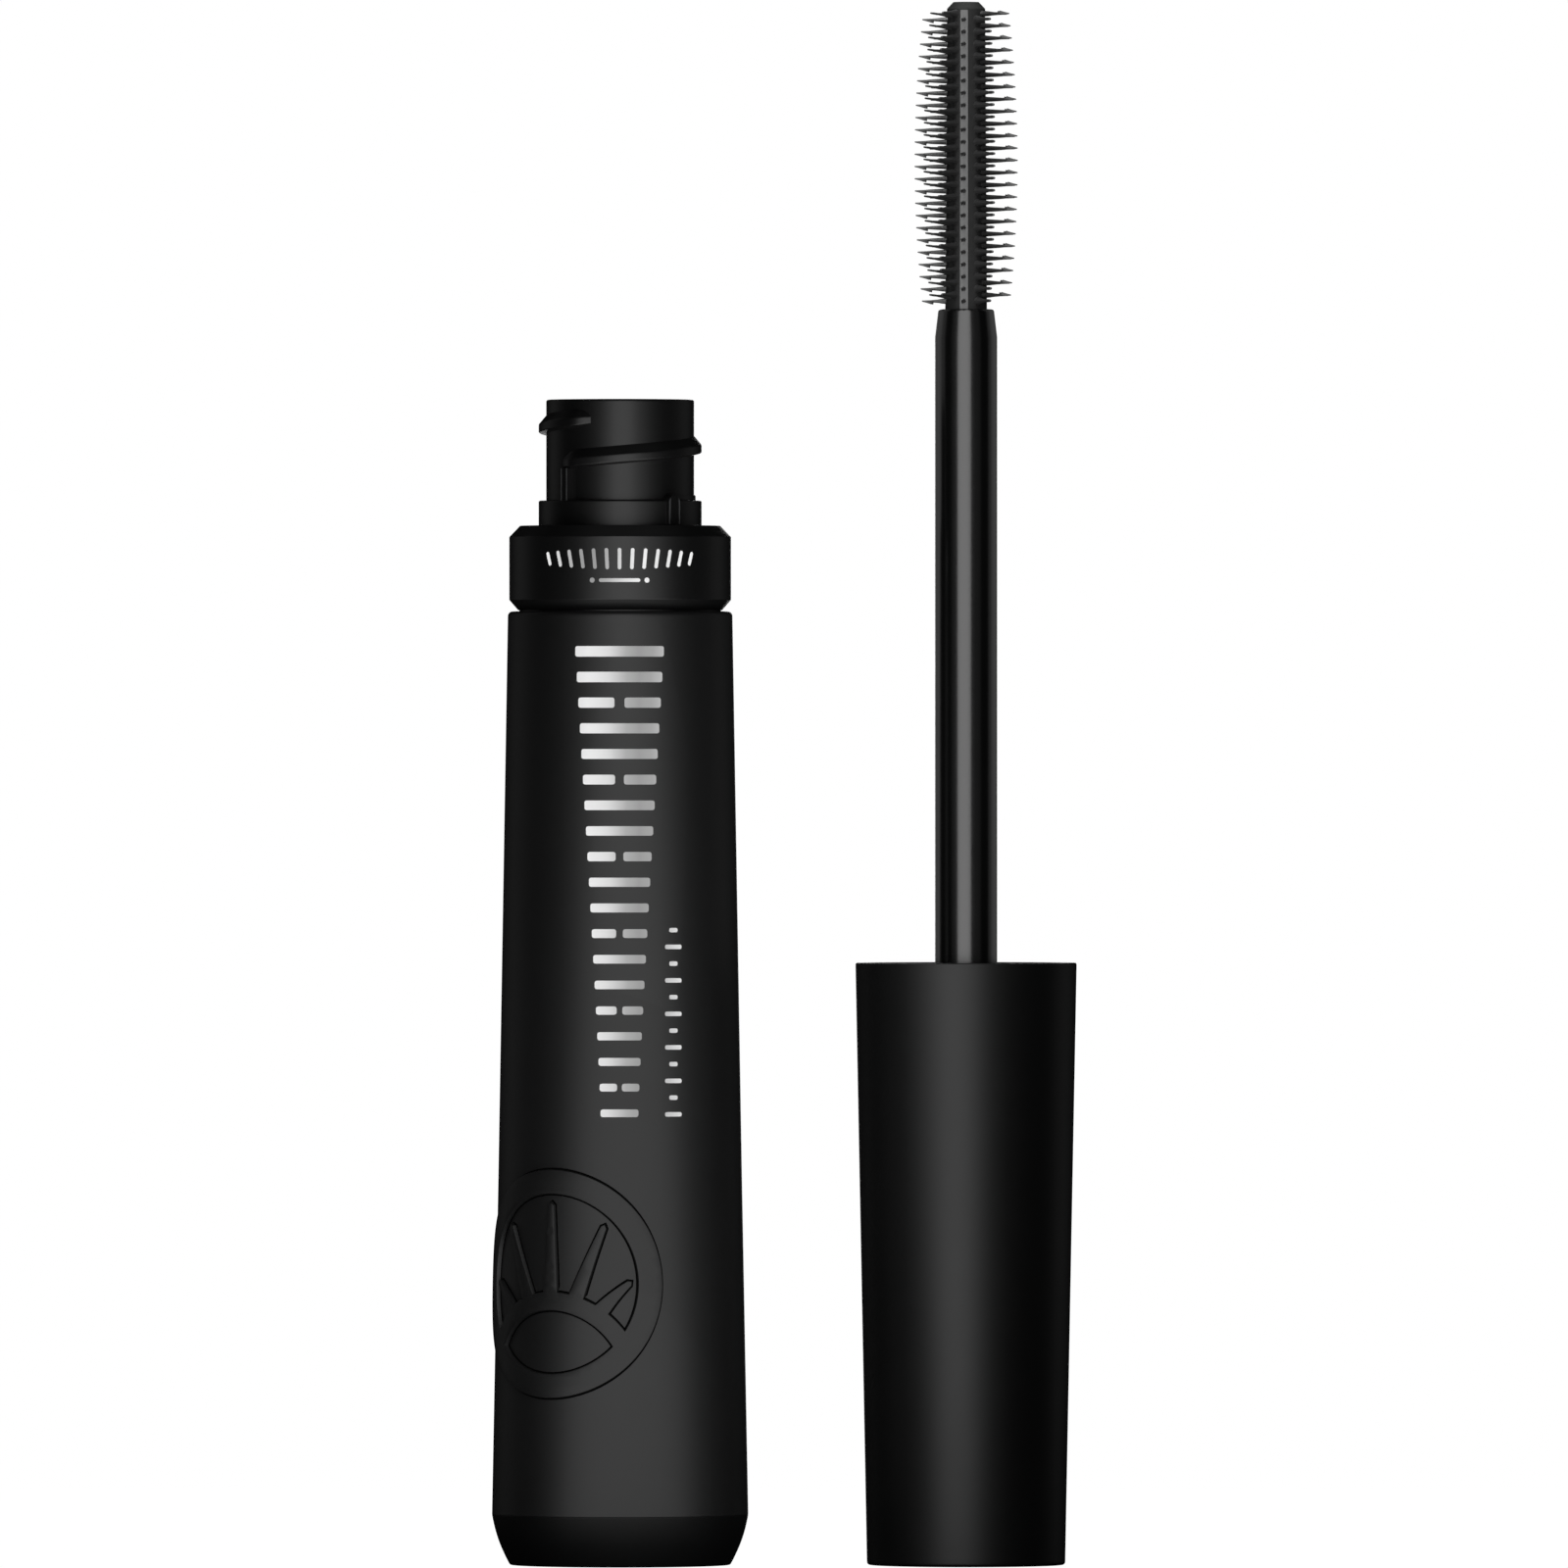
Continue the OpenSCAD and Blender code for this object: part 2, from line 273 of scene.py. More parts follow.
def brush_black():
    """Soft moulded elastomer, matt and a little dusty."""
    f = Finish("brush_black", Metallic=0.0, IOR=1.45, Specular_IOR_Level=0.3)
    dust = f.noise(0.35, 4)
    f.colour(f.between(dust, grey(0.013), grey(0.026)))
    f.roughness(0.62 + dust * 0.12)
    f.bump(f.noise(0.08, 2), 0.002)
    return f.material


def bristle_black():
    """The bristles, smoother than the core because they leave the mould lengthwise."""
    f = Finish("bristle_black", Metallic=0.0, IOR=1.5, Specular_IOR_Level=1.0)
    dust = f.noise(0.35, 3)
    f.colour(f.between(dust, grey(0.02), grey(0.034)))
    f.roughness(0.36 + dust * 0.08)
    f.bump(f.noise(0.08, 2), 0.001)
    return f.material


def brush_flat_painted_highlight():
    """The comb's flat, polished by the mould's parting face, with a base colour far paler than the core's:
    painted highlight.
    """
    f = Finish("brush_flat_painted_highlight", Metallic=0.0, IOR=1.5, Specular_IOR_Level=0.8)
    wear_and_sheen = f.noise(0.5, 4, (1, 1, 0.4))
    # the pale greys paint the flat's highlight into its colour; the noise varies it at random
    f.colour(f.between(wear_and_sheen, grey(0.075), grey(0.12)))
    f.roughness(0.3 + wear_and_sheen * 0.08)
    f.bump(f.noise(0.12, 2), 0.001)
    return f.material


def wiper_grey():
    """Waxy low-density polyethylene, slightly translucent in tone."""
    f = Finish("wiper_grey", Metallic=0.0, IOR=1.5, Specular_IOR_Level=0.4)
    wax = f.noise(0.9, 4)
    f.colour(f.between(wax, grey(0.014), grey(0.026)))
    f.roughness(0.42 + wax * 0.12)
    f.bump(f.noise(0.2, 3), 0.003)
    return f.material


def liner_white():
    """Closed-cell foam: a white sheet with fine pores."""
    f = Finish("liner_white", Metallic=0.0, IOR=1.45)
    pore_mm = 0.16
    cells = f.node(
        "ShaderNodeTexVoronoi",
        {"feature": "F1"},
        {"Vector": f.place, "Scale": 1 / (pore_mm * MM)},
        "Distance",
    )
    f.colour(f.between(cells, grey(0.74, 0.01), grey(0.5, 0.02)))
    f.roughness(0.8 - cells * 0.15)
    f.bump(cells, 0.02)
    return f.material


def silver_foil(name, painted_streak_x):
    """Hot-stamped silver foil: white metal whose colour carries a painted reflection, a darker streak beside
    the middle and brighter sides, and faint brush lines.
    """
    f = Finish(name, Metallic=0.5)
    across = f.node("ShaderNodeSeparateXYZ", {}, {"Vector": f.place}, "X")
    painted_streak_half = 4.2 * MM
    offset = f.node("ShaderNodeMath", {"operation": "ABSOLUTE"}, {0: across - painted_streak_x * MM})
    # the colour ramp across X is painted reflection: darkest at the streak, brightening towards the sides
    tone = f.node(
        "ShaderNodeValToRGB", {"stops": [(0.0, 0.34), (0.25, 0.42), (0.6, 0.72), (1.0, 0.95)]},
        {"Fac": offset * (1 / painted_streak_half) + f.noise(5, 2) * 0.16 - 0.08}, "Color",
    )
    f.colour(tone)
    lines = f.noise(0.25, 3, (1, 1, 0.12))
    f.roughness(0.42 + lines * 0.1)
    f.bump(lines, 0.0008)
    return f.material


# ---------------------------------------------------------------- mesh helpers

def around(radius, azimuth, height, axis=0.0):
    """The point in metres at an azimuth round an upright axis."""
    a = math.radians(azimuth)
    return Vector((axis + radius * math.sin(a), -radius * math.cos(a), height)) * MM


def corner_arc(before, corner, after, radius, steps):
    """Points of the arc that rounds a corner, with a support point on each side of it."""
    here = Vector(corner)
    back, ahead = (Vector(before) - here), (Vector(after) - here)
    room = min(back.length, ahead.length)
    back.normalize()
    ahead.normalize()
    half = back.angle(ahead) / 2
    run = min(radius / math.tan(half), room * 0.45)
    radius = run * math.tan(half)
    centre = here + (back + ahead).normalized() * (radius / math.sin(half))
    support = min(max(radius * 0.5, 0.08), room * 0.5 - run)
    start, end = here + back * run - centre, here + ahead * run - centre
    turn = start.angle_signed(end)
    points = [here + back * (run + support)]
    for i in range(steps + 1):
        c, s = math.cos(-turn * i / steps), math.sin(-turn * i / steps)
        points.append(centre + Vector((start.x * c - start.y * s, start.x * s + start.y * c)))
    points.append(here + ahead * (run + support))
    return [tuple(p) for p in points]


def outline(*corners, steps=5):
    """A closed outline from (radius, height, rounding) corners. Rounding 0 or a missing one stays sharp."""
    points = []
    for i, corner in enumerate(corners):
        here, rounding = corner[:2], (corner[2] if len(corner) > 2 else 0)
        if rounding:
            before, after = corners[i - 1][:2], corners[(i + 1) % len(corners)][:2]
            points += corner_arc(before, here, after, rounding, steps)
        else:
            points.append(tuple(here))
    return points


def full_turn(steps=ROUND_STEPS):
    return [360 * i / steps for i in range(steps)]


def lathe(bm, points, axis, azimuths=None):
    """Turns a closed (radius, height) outline round an upright axis."""
    azimuths = azimuths or full_turn()
    rings = []
    for radius, height in points:
        if radius < 1e-6:
            rings.append([bm.verts.new(around(0, 0, height, axis))] * len(azimuths))
        else:
            rings.append([bm.verts.new(around(radius, a, height, axis)) for a in azimuths])
    made = []
    for i, ring in enumerate(rings):
        upper = rings[(i + 1) % len(rings)]
        for j in range(len(azimuths)):
            k = (j + 1) % len(azimuths)
            quad = list(dict.fromkeys([ring[j], ring[k], upper[k], upper[j]]))
            if len(quad) > 2:
                made.append(bm.faces.new(quad))
    return made


def loft(bm, sections, closed_ends=True):
    """Joins rings of points, each with the same number of points, into a skin with flat ends."""
    rings = [[bm.verts.new(p) for p in section] for section in sections]
    count = len(rings[0])
    for low, high in zip(rings, rings[1:]):
        for j in range(count):
            k = (j + 1) % count
            bm.faces.new((low[j], low[k], high[k], high[j]))
    if closed_ends:
        bm.faces.new(reversed(rings[0]))
        bm.faces.new(rings[-1])


def piece(name, bm, body, finishes, slot, *nodes):
    """Makes the object: smooth faces, sharp only where two faces meet at a real edge, riding on its body."""
    bmesh.ops.recalc_face_normals(bm, faces=bm.faces)
    for face in bm.faces:
        face.smooth = True
    for edge in bm.edges:
        edge.smooth = edge.calc_face_angle(0) < SHARP_ANGLE
    mesh = bpy.data.meshes.new(name)
    bm.to_mesh(mesh)
    bm.free()
    for finish in finishes:
        mesh.materials.append(finish)
    made = bpy.data.objects.new(name, mesh)
    bpy.context.scene.collection.objects.link(made)
    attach(made, body)
    if nodes:
        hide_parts(*nodes)
    return made


# ---------------------------------------------------------------- bottle

def make_sleeve(finish):
    bm = bmesh.new()
    shoulder = 1.3
    groove_r = 7.62
    lathe(bm, outline(
        (SLEEVE.radius - SLEEVE_WALL, SLEEVE.low),
        (SLEEVE.radius - 0.01, SLEEVE.low, 0.03),
        (SLEEVE_MID_R, SLEEVE_MID_Z),
        (SLEEVE_TOP_R, SLEEVE.top, 0.38),
        (groove_r, SLEEVE.top, 0.1),
        (groove_r, SLEEVE.top - shoulder),
        (sleeve_r(SLEEVE.top - shoulder) - SLEEVE_WALL, SLEEVE.top - shoulder),
        (SLEEVE_MID_R - SLEEVE_WALL, SLEEVE_MID_Z),
    ), 0)
    return piece("sleeve", bm, "bottle", [finish], "satin_black", "outer_sleeve")


def make_foot(finish):
    bm = bmesh.new()
    spigot_r = SLEEVE.radius - SLEEVE_WALL - 0.11
    wall, floor = 1.2, 1.6
    groove_r, groove_w, groove_d = 6.6, 0.7, 0.3
    flank_steps = 10
    flank = [
        (blend(FOOT_R, FOOT.radius, t) + FOOT_BULGE * math.sin(math.pi * t), SLEEVE.low * t)
        for t in (i / flank_steps for i in range(1, flank_steps))
    ]
    lathe(bm, outline(
        (0, 0),
        (groove_r - groove_w, 0, 0.06),
        (groove_r - groove_w, groove_d),
        (groove_r, groove_d),
        (groove_r, 0, 0.06),
        (FOOT_R - 0.02, 0, 0.22),
        *flank,
        (FOOT.radius - 0.01, SLEEVE.low - 0.005, 0.03),
        (spigot_r, SLEEVE.low - 0.005),
        (spigot_r, FOOT.top, 0.2),
        (spigot_r - wall, FOOT.top, 0.2),
        (spigot_r - wall, floor, 0.3),
        (0, floor),
    ), 0)
    return piece("foot", bm, "bottle", [finish], "satin_black", "foot_plug")


def make_collar(finish):
    bm = bmesh.new()
    inner_r, ring_gap = 7.56, 0.06
    low_in, low_up = 0.72, 0.84
    top_in, top_down = 0.88, 0.92
    edge = 0.07
    lathe(bm, outline(
        (inner_r, SLEEVE.top),
        (COLLAR.radius - low_in - 0.1, SLEEVE.top),
        (COLLAR.radius - low_in - 0.1, COLLAR.low),
        (COLLAR.radius - low_in, COLLAR.low, edge),
        (COLLAR.radius, COLLAR.low + low_up, edge),
        (COLLAR.radius, COLLAR.top - top_down, edge),
        (COLLAR.radius - top_in, COLLAR.top, edge),
        (RING_R + ring_gap, COLLAR.top, edge),
        (RING_R + ring_gap, COLLAR.low + 1.5),
        (inner_r, COLLAR.low + 1.5),
    ), 0)
    return piece("collar", bm, "bottle", [finish], "neck_black", "collar_ring")


def thread_ridge(bm, profile):
    """The neck's thread, whose two ends ramp down and stop a little above the wall."""
    step_angle, ramp = 4, 11
    end_swell, end_spread = 0.33, 0.75
    steps = math.ceil(THREAD_TURN / step_angle)
    root = min(r for r, z in profile)
    middle = sum(z for r, z in profile) / len(profile)
    sections = []
    for i in range(steps + 1):
        angle = THREAD_TURN * i / steps
        rise = min(angle, THREAD_TURN - angle, ramp) / ramp
        swell, spread = blend(end_swell, 1, rise), blend(end_spread, 1, rise)
        section = []
        for r, z in profile:
            height = THREAD_START_Z + THREAD_LEAD * angle / 360 + middle + (z - middle) * spread
            section.append(around(root + (r - root) * swell, THREAD_START + angle, height))
        sections.append(section)
    loft(bm, sections)


def arc_block(bm, inner_r, outer_r, low, top, azimuth, span, slant=0.0, edge_slot=1):
    """A raised block on a round wall. Its upright edges have a finish of their own. Slant cuts its top."""
    step_angle, sharp, bevel = 1.5, 50, 0.05
    steps = max(3, math.ceil(span / step_angle))
    part = bmesh.new()
    sections = []
    for i in range(steps + 1):
        a = azimuth + span * i / steps
        cut = slant * abs(2 * i / steps - 1) ** 3
        sections.append([
            around(inner_r, a, low), around(outer_r, a, low),
            around(outer_r, a, top - cut), around(inner_r, a, top - cut),
        ])
    loft(part, sections)
    bmesh.ops.recalc_face_normals(part, faces=part.faces)
    for face in part.faces:
        middle = face.calc_center_median() / MM
        from_centre = math.degrees(math.atan2(middle.x, -middle.y)) - azimuth - span / 2
        # faces along the upright edges take edge_slot; on the rib and the lug that is a paler finish, painted
        # highlight lines
        if middle.xy.length > outer_r - 0.02 and abs(from_centre) > span / 2 - span / steps:
            face.material_index = edge_slot
    edges = [e for e in part.edges if e.calc_face_angle(0) > math.radians(sharp)]
    bmesh.ops.bevel(part, geom=edges, offset=bevel * MM, segments=2, affect="EDGES", clamp_overlap=True)
    spare = bpy.data.meshes.new("spare")
    part.to_mesh(spare)
    part.free()
    bm.from_mesh(spare)
    bpy.data.meshes.remove(spare)


def make_neck(finishes):
    """The inner bottle: the vial inside the sleeve, and the threaded neck above the collar."""
    bm = bmesh.new()
    vial_r, vial_wall, vial_floor, shoulder = 7.5, 1.1, 1.2, 79.4
    seat_z = WIPER.top - 0.85
    lathe(bm, outline(
        (0, NECK.low),
        (vial_r, NECK.low, 1.0),
        (vial_r, shoulder),
        (RING_R, shoulder),
        (RING_R, RING_TOP, 0.13),
        (NECK_R, RING_TOP, 0.05),
        (NECK_R, NECK.top, 0.18),
        (RIM_SEAT_R, NECK.top, 0.06),
        (RIM_SEAT_R, seat_z),
        (BORE_R, seat_z),
        (BORE_R, shoulder),
        (vial_r - vial_wall, shoulder - 2.4),
        (vial_r - vial_wall, NECK.low + vial_floor, 1.0),
        (0, NECK.low + vial_floor),
    ), 0)
    root = NECK_R - 0.25
    profile = outline(
        (root, -0.5), (THREAD_R, -0.31, 0.1), (THREAD_R, 0.33, 0.26), (root, 1.35), steps=4
    )
    thread_ridge(bm, profile)
    # The stop rib under the thread's start, the lug across the ring, and the low ridge beside the lug
    # The rib and the lug give their upright edges the paler finish as painted highlight lines; the low ridge
    # keeps the plain one
    arc_block(bm, root, outer_r=6.6, low=RING_TOP - 0.2, top=89.6, azimuth=-47.3, span=7)
    arc_block(bm, root, outer_r=6.95, low=COLLAR.top + 0.05, top=87.4, azimuth=35, span=10.5, slant=0.55)
    arc_block(bm, root, outer_r=6.17, low=RING_TOP - 0.2, top=87.4, azimuth=46, span=65, edge_slot=0)
    return piece("neck", bm, "bottle", finishes, "neck_black", "inner_bottle")


def make_wiper(finish):
    bm = bmesh.new()
    throat_r, throat_len, wall, skirt_z = 2.6, 1.6, 0.85, 86.5
    outer_r = BORE_R - 0.06
    inner_r = outer_r - wall
    flange_r, flange_t = WIPER.radius, 0.8
    lathe(bm, outline(
        (throat_r, WIPER.low, 0.1),
        (throat_r + 0.7, WIPER.low, 0.15),
        (outer_r, skirt_z),
        (outer_r, WIPER.top - flange_t),
        (flange_r, WIPER.top - flange_t),
        (flange_r, WIPER.top, 0.1),
        (inner_r + 0.4, WIPER.top, 0.12),
        (inner_r, WIPER.top - 0.55, 0.2),
        (inner_r, skirt_z + 0.6, 0.4),
        (throat_r, WIPER.low + throat_len, 0.2),
    ), 0)
    return piece("wiper_plug", bm, "bottle", [finish], "wiper_grey", "wiper")


# ---------------------------------------------------------------- emblem

EMBLEM_AZIMUTH, EMBLEM_Z = -33, 23.1
EMBLEM_R, EMBLEM_BAND = 9.47, 2.08
EMBLEM_RELIEF = 0.33
# The wall from the raised face down to the sleeve: (run outwards, height left). Its foot and the thin strip
# lying on the sleeve beyond it take a near-black finish, painted shade for the crease
EMBLEM_WALL = [(0, 1), (0.02, 0.975), (0.04, 0.88), (0.08, 0.06), (0.2, 0.03), (0.22, -0.2)]
PAINTED_SHADE_FROM = 3
POINT_GAP = 0.22


def arc_points(centre, radius, start, end):
    """Points along an arc in the emblem's plane, angles in radians, the last one left out."""
    count = max(2, round(abs(end - start) * radius / POINT_GAP))
    return [
        (centre[0] + radius * math.cos(a), centre[1] + radius * math.sin(a))
        for a in (blend(start, end, i / count) for i in range(count))
    ]


def lash_points(foot, direction, length, bend):
    """Up one side of a lash and down the other, from a foot on the lid towards a fine, rounded tip."""
    side = Vector((direction.y, -direction.x))
    foot_half, tip_half, steps = 0.6, 0.2, 12
    right, left = [], []
    for i in range(steps + 1):
        t = i / steps
        middle = foot + direction * (length * t) + side * (bend * t * t)
        heading = (direction * length + side * (2 * bend * t)).normalized()
        across = Vector((heading.y, -heading.x)) * blend(foot_half, tip_half, t)
        right.append(tuple(middle + across))
        left.append(tuple(middle - across))
        if i == steps:
            cap = tuple(middle + heading * tip_half)
    return right + [cap] + left[::-1]


def emblem_hollows():
    """The sunk fields inside the ring: one above the arched lid with its five lashes, one below it."""
    inner = EMBLEM_R - EMBLEM_BAND
    arch_drop, upper_r, lower_r = 8.4, 7.7, 6.3
    centre = Vector((0, -arch_drop))

    def meeting(radius):
        z = (radius ** 2 - inner ** 2 - arch_drop ** 2) / (2 * arch_drop)
        return math.sqrt(inner ** 2 - z ** 2), z

    x, z = meeting(upper_r)
    above = arc_points((0, 0), inner, math.atan2(z, x), math.pi - math.atan2(z, x))
    lid_angle = math.atan2(x, z + arch_drop)
    lashes, swing, foot_share = 5, math.radians(35), 0.08
    splay, bend = 1.15, 0.5
    lash_rim, sunk = inner - 1.0, 0.05
    at = -lid_angle
    for i in range(lashes):
        lean = blend(-swing, swing, i / (lashes - 1))
        direction = Vector((math.sin(lean * splay), math.cos(lean * splay)))
        foot = centre + Vector((math.sin(lean), math.cos(lean))) * (upper_r - sunk)
        reach = math.sqrt(max(0.0, lash_rim ** 2 - foot.cross(direction) ** 2)) - foot.dot(direction)
        left_foot, right_foot = lean - foot_share, lean + foot_share
        above += lid_arc(centre, upper_r, at, left_foot)
        above += lash_points(foot, direction, reach, bend * math.sin(lean))[::-1]
        at = right_foot
    above += lid_arc(centre, upper_r, at, lid_angle)
    x, z = meeting(lower_r)
    lid_angle = math.atan2(x, z + arch_drop)
    below = arc_points((0, 0), inner, math.atan2(z, -x), math.atan2(z, x))
    below += lid_arc(centre, lower_r, lid_angle, -lid_angle)
    return [above, below]


def lid_arc(centre, radius, start, end):
    """Points along the lid, angles measured from straight up and growing to the right."""
    return arc_points(centre, radius, math.pi / 2 - start, math.pi / 2 - end)


def shifted(points, distance):
    """A closed outline moved sideways by a distance, to the right of its direction."""
    sharpest = 0.8
    moved = []
    for i, here in enumerate(points):
        before, after = Vector(points[i - 1]), Vector(points[(i + 1) % len(points)])
        first, second = (Vector(here) - before).normalized(), (after - Vector(here)).normalized()
        normals = Vector((first.y, -first.x)) + Vector((second.y, -second.x))
        length = max(normals.length, sharpest)
        moved.append(tuple(Vector(here) + normals / length * (2 / length) * distance))
    return moved


def inside(point, points):
    """True if the point is inside the closed outline."""
    x, z = point
    hit = False
    for (x1, z1), (x2, z2) in zip(points, points[1:] + points[:1]):
        if (z1 > z) != (z2 > z) and x < x1 + (z - z1) / (z2 - z1) * (x2 - x1):
            hit = not hit
    return hit


def area_of(points):
    return sum(a[0] * b[1] - b[0] * a[1] for a, b in zip(points, points[1:] + points[:1])) / 2


def on_sleeve(s, z, height):
    """A point of the emblem's plane laid on the sleeve, height above its surface."""
    azimuth = EMBLEM_AZIMUTH + math.degrees(s / sleeve_r(EMBLEM_Z))
    return around(sleeve_r(EMBLEM_Z + z) + height, azimuth, EMBLEM_Z + z)


def fill_face(bm, rim, hollows, height):
    """The raised face: a mesh of small triangles between the rim and the hollows, so that it can bend."""
    outlines = [rim] + hollows
    points, edges = [], []
    for loop in outlines:
        first = len(points)
        points += loop
        edges += [(first + i, first + (i + 1) % len(loop)) for i in range(len(loop))]
    border = list(points)
    lattice, row_share, clearance = 0.55, 0.87, 0.25
    count = int(EMBLEM_R / lattice)
    for i in range(-count, count + 1):
        for j in range(-count, count + 1):
            p = (lattice * (i + 0.5 * (j % 2)), lattice * j * row_share)
            if is_raised(p, rim, hollows) and min(math.dist(p, q) for q in border) > clearance:
                points.append(p)
    flat, _, faces, *_ = delaunay_2d_cdt([Vector(p) for p in points], edges, [], 0, 1e-5)
    verts = [bm.verts.new(on_sleeve(p.x, p.y, height)) for p in flat]
    for face in faces:
        middle = sum((flat[i] for i in face), Vector((0, 0))) / len(face)
        if is_raised(middle, rim, hollows):
            bm.faces.new([verts[i] for i in face])
    bmesh.ops.delete(bm, geom=[v for v in bm.verts if not v.link_faces], context="VERTS")


def is_raised(point, rim, hollows):
    return inside(point, rim) and not any(inside(point, h) for h in hollows)


def emblem_wall(bm, points, outwards):
    """The sloped wall along one outline of the raised face. Its lowest rings take the near-black
    painted-shade finish.
    """
    rings = []
    for run, left in EMBLEM_WALL:
        loop = shifted(points, run * outwards)
        rings.append([bm.verts.new(on_sleeve(s, z, EMBLEM_RELIEF * left)) for s, z in loop])
    for i, (low, high) in enumerate(zip(rings, rings[1:])):
        for j in range(len(points)):
            k = (j + 1) % len(points)
            face = bm.faces.new((low[j], low[k], high[k], high[j]))
            # the lowest rings take slot 1, a near-black finish: painted shade at the foot of the step
            face.material_index = int(i >= PAINTED_SHADE_FROM)


def make_emblem(finishes):
    """A raised ring round an arched lid with five lashes, moulded on the sleeve."""
    bm = bmesh.new()
    rim = arc_points((0, 0), EMBLEM_R - EMBLEM_WALL[-1][0], 0, 2 * math.pi)
    hollows = emblem_hollows()
    fill_face(bm, rim, hollows, EMBLEM_RELIEF)
    emblem_wall(bm, rim, 1)
    for hollow in hollows:
        emblem_wall(bm, hollow, -1 if area_of(hollow) > 0 else 1)
    bmesh.ops.remove_doubles(bm, verts=bm.verts, dist=0.002 * MM)
    return piece("sleeve_emblem", bm, "bottle", finishes, "satin_black", "outer_sleeve")


# ---------------------------------------------------------------- foil marks

FOIL_T = 0.012


def foil_bar(bm, radius_at, middle_s, middle_z, width, height, lean=0.0, corner=0.18):
    """A rounded bar of foil on a round wall. Width runs round the wall, and lean tips it, in degrees."""
    column_w = 0.2
    columns = max(6, math.ceil(width / column_w))
    corner = min(corner, height / 2, width / 2)
    c, s = math.cos(math.radians(lean)), math.sin(math.radians(lean))
    sections = []
    for i in range(columns + 1):
        x = -width / 2 * math.cos(math.pi * i / columns)
        past = max(0.0, abs(x) - (width / 2 - corner))
        half = height / 2 - corner + math.sqrt(max(0.0, corner ** 2 - past ** 2)) + 0.002
        section = []
        for z, lift in ((-half, -FOIL_T), (-half, FOIL_T), (half, FOIL_T), (half, -FOIL_T)):
            across, up = middle_s + x * c - z * s, middle_z + x * s + z * c
            radius = radius_at(up)
            section.append(around(radius + lift, math.degrees(across / radius), up))
        sections.append(section)
    loft(bm, sections)


def collar_r(z):
    """The collar's wall is upright behind the foil, so its radius is the same at every height."""
    return COLLAR.radius


def make_collar_foil(finish):
    """A fan of lash strokes over a fine line between two dots, stamped on the collar."""
    bm = bmesh.new()
    strokes, spacing, tall, wide = 13, 1.04, 1.75, 0.3
    fan_z, shortening, splay = 82.15, 0.0096, -2.6
    line_z, line_w, line_h = fan_z - 1.75, 3.4, 0.3
    dot, dot_s = 0.42, 2.25
    for i in range(strokes):
        place = i - (strokes - 1) / 2
        length = tall * (1 - shortening * place ** 2)
        foil_bar(bm, collar_r, place * spacing, fan_z, wide, length, lean=splay * place)
    foil_bar(bm, collar_r, 0, line_z, line_w, line_h)
    for side in (-1, 1):
        foil_bar(bm, collar_r, side * dot_s, line_z, dot, dot, corner=dot / 2)
    return piece("foil_collar", bm, "bottle", [finish], "silver_foil")


def make_column_foil(finish):
    """A ladder of dashes up the sleeve that widens towards the top."""
    bm = bmesh.new()
    low_z, top_z = 37.0, 74.6
    rungs = 19
    low_w, top_w, swell = 3.1, 7.4, 1.15
    low_t, top_t = 0.62, 0.86
    split_share = 0.44
    for i in range(rungs):
        t = i / (rungs - 1)
        z = blend(low_z, top_z, t)
        width = blend(low_w, top_w, t ** swell)
        thick = blend(low_t, top_t, t)
        if i % 3 == 1:
            part = width * split_share
            for side in (-1, 1):
                foil_bar(bm, sleeve_r, side * (width - part) / 2, z, part, thick)
        else:
            foil_bar(bm, sleeve_r, 0, z, width, thick)
    return piece("foil_column", bm, "bottle", [finish], "silver_foil")


def make_line_foil(finish):
    """A short row of fine dashes beside the ladder."""
    bm = bmesh.new()
    low_z, top_z, dashes = 36.9, 51.9, 12
    middle_s, long_w, short_w, thick = 4.55, 1.5, 0.75, 0.36
    for i in range(dashes):
        z = blend(low_z, top_z, i / (dashes - 1))
        width = long_w if i % 2 == 0 else short_w
        foil_bar(bm, sleeve_r, middle_s, z, width, thick, corner=0.12)
    return piece("foil_line", bm, "bottle", [finish], "silver_foil")


# ---------------------------------------------------------------- cap

def make_cap(finish):
    bm = bmesh.new()
    floor = 1.5
    floor_r = blend(CAP_END_R, CAP.radius, floor / CAP.top) - CAP_WALL
    lathe(bm, outline(
        (0, 0),
        (CAP_END_R, 0, 0.25),
        (CAP.radius, CAP.top, 0.16),
        (CAP.radius - CAP_WALL, CAP.top, 0.12),
        (floor_r, floor, 0.3),
        (0, floor),
    ), STAND_X)
    return piece("cap_shell", bm, "applicator", [finish], "satin_black", "overcap")


def make_insert(finish):
    """The threaded insert in the cap, which holds the stem in its socket."""
    bm = bmesh.new()
    web, wall = 1.6, 1.5
    socket_r = 2.11
    bore_r, mouth_r, mouth_h = 6.85, 7.05, 2.7
    foot_r = blend(CAP_END_R, CAP.radius, (CEILING_Z - web) / CAP.top) - CAP_WALL - 0.06
    lathe(bm, outline(
        (socket_r, INSERT.low, 0.1),
        (socket_r + wall, INSERT.low, 0.2),
        (socket_r + wall, CEILING_Z - web, 0.3),
        (foot_r, CEILING_Z - web),
        (INSERT.radius, INSERT.top, 0.08),
        (mouth_r, INSERT.top, 0.1),
        (mouth_r, CAP.top - mouth_h, 0.05),
        (bore_r, CAP.top - mouth_h - 0.2, 0.05),
        (bore_r, CEILING_Z, 0.1),
        (socket_r, CEILING_Z),
    ), STAND_X)
    crest_r, root_r = NECK_R + 0.16, bore_r + 0.2
    profile = outline(
        (crest_r, -1.4, 0.12),
        (root_r, -1.7),
        (root_r, -0.45),
        (crest_r, -0.68, 0.12),
        steps=3,
    )
    inner_ridge(bm, profile, root_r)
    return piece("cap_insert", bm, "applicator", [finish], "neck_black", "inner_cap")


